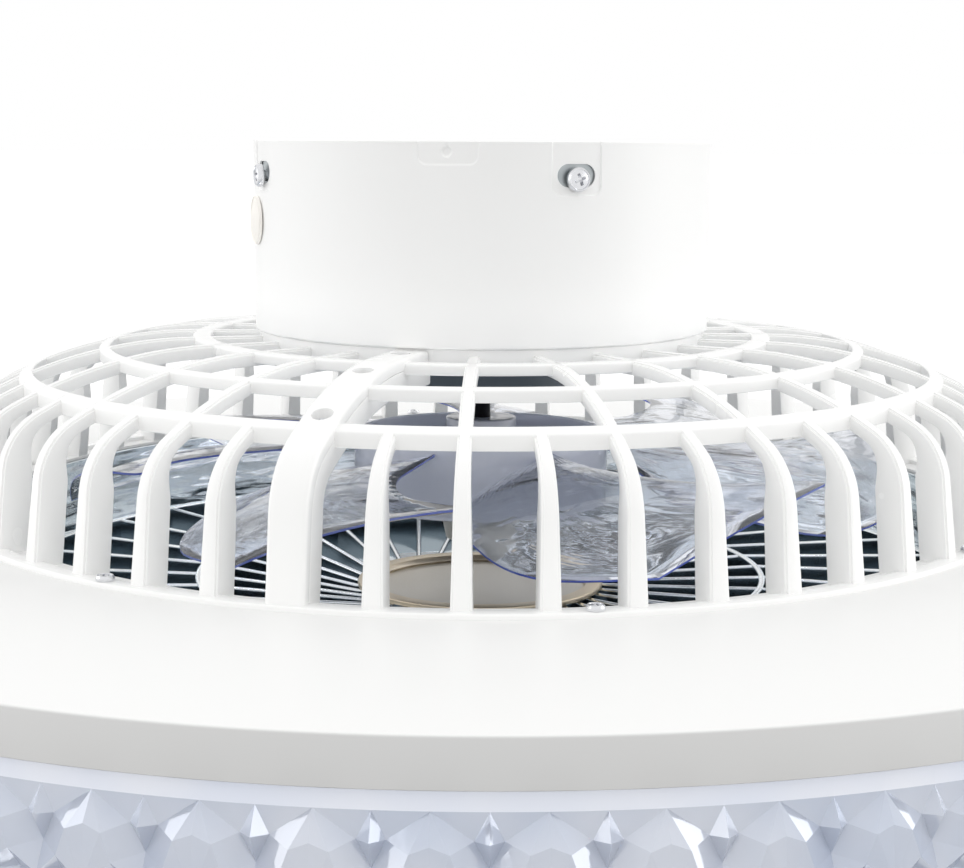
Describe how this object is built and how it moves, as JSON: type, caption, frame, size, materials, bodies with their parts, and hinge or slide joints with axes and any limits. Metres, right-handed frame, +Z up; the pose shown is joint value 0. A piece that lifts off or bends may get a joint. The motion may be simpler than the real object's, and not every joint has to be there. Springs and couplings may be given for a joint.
{
  "type": "ceiling fan",
  "caption": "Enclosed ceiling fan with a slatted white cage, clear blades inside, a round canopy and a crystal-edged ring light around a finned air outlet.",
  "frame": {"origin": "on the ceiling plane, at the centre of the canopy's rim and of the ceiling screws", "axes": "+Z up, out of the ceiling face and along the fan shaft; -Y is the front of the picture, +X its right"},
  "size_m": [0.597, 0.597, 0.1888],
  "materials": {
    "white_steel": "satin white powder coat",
    "galvanised": "galvanised sheet",
    "zinc_screw": "zinc plated",
    "cream_rubber": "soft moulded rubber",
    "case_plastic": "moulded white case",
    "wire_insulation": "PVC insulation",
    "motor_steel": "dark blue-grey steel",
    "bearing_steel": "ground steel",
    "dark_shaft": "blackened ground steel",
    "lamination": "stamped laminations",
    "copper_wire": "enamelled copper wire",
    "ferrite": "sintered ferrite",
    "brass_washer": "stamped brass",
    "clear_blade": "clear polycarbonate with a blue tint",
    "grey_nut": "moulded pale grey",
    "white_abs": "glossy white ABS",
    "led_board_white": "white solder mask on aluminium",
    "led_phosphor": "phosphor over a white package",
    "clear_acrylic": "faceted clear acrylic",
    "opal_acrylic": "opal acrylic",
    "chrome_abs": "chrome plated ABS",
    "champagne_metal": "satin champagne metal"
  },
  "bodies": {
    "housing": {"ceiling_bracket": "galvanised", "canopy_drum": "white_steel", "canopy_screws": "zinc_screw", "side_plug": "cream_rubber", "terminal_block": "case_plastic", "controller_box": "case_plastic", "led_driver": "case_plastic", "canopy_wires": "wire_insulation", "collar_screws": "zinc_screw", "motor_plate": "motor_steel", "motor_screws": "zinc_screw", "motor_housing": "motor_steel", "housing_screws": "zinc_screw", "stator_core": "lamination", "stator_coils": "copper_wire", "upper_bearing": "bearing_steel", "lower_bearing": "bearing_steel", "motor_lead": "wire_insulation", "cage": "white_abs", "conduit_cover": "white_abs", "conduit_screws": "zinc_screw", "led_lead": "wire_insulation", "cage_foot_screws": "zinc_screw", "base_plate": "white_steel", "led_board": "led_board_white", "led_chips": "led_phosphor", "led_board_screws": "zinc_screw", "led_connector": "case_plastic", "shade_clips": "galvanised", "crystal_ring": "clear_acrylic", "opal_diffuser": "opal_acrylic", "duct_ring": "chrome_abs", "lower_grille": "chrome_abs", "centre_disc": "champagne_metal"},
    "rotor": {"motor_shaft": "dark_shaft", "rotor_core": "bearing_steel", "rotor_magnet": "ferrite", "thrust_washers": "brass_washer", "drive_pin": "zinc_screw", "impeller_hub": "clear_blade", "blade_1": "clear_blade", "blade_2": "clear_blade", "blade_3": "clear_blade", "blade_4": "clear_blade", "blade_5": "clear_blade", "blade_6": "clear_blade", "blade_7": "clear_blade", "hub_nut": "grey_nut"}
  },
  "joints": [
    {"name": "fan_spin", "type": "hinge", "parent": "housing", "child": "rotor", "pos_m": [0, 0, -0.1], "axis": [0, 0, 1], "continuous": true}
  ]
}
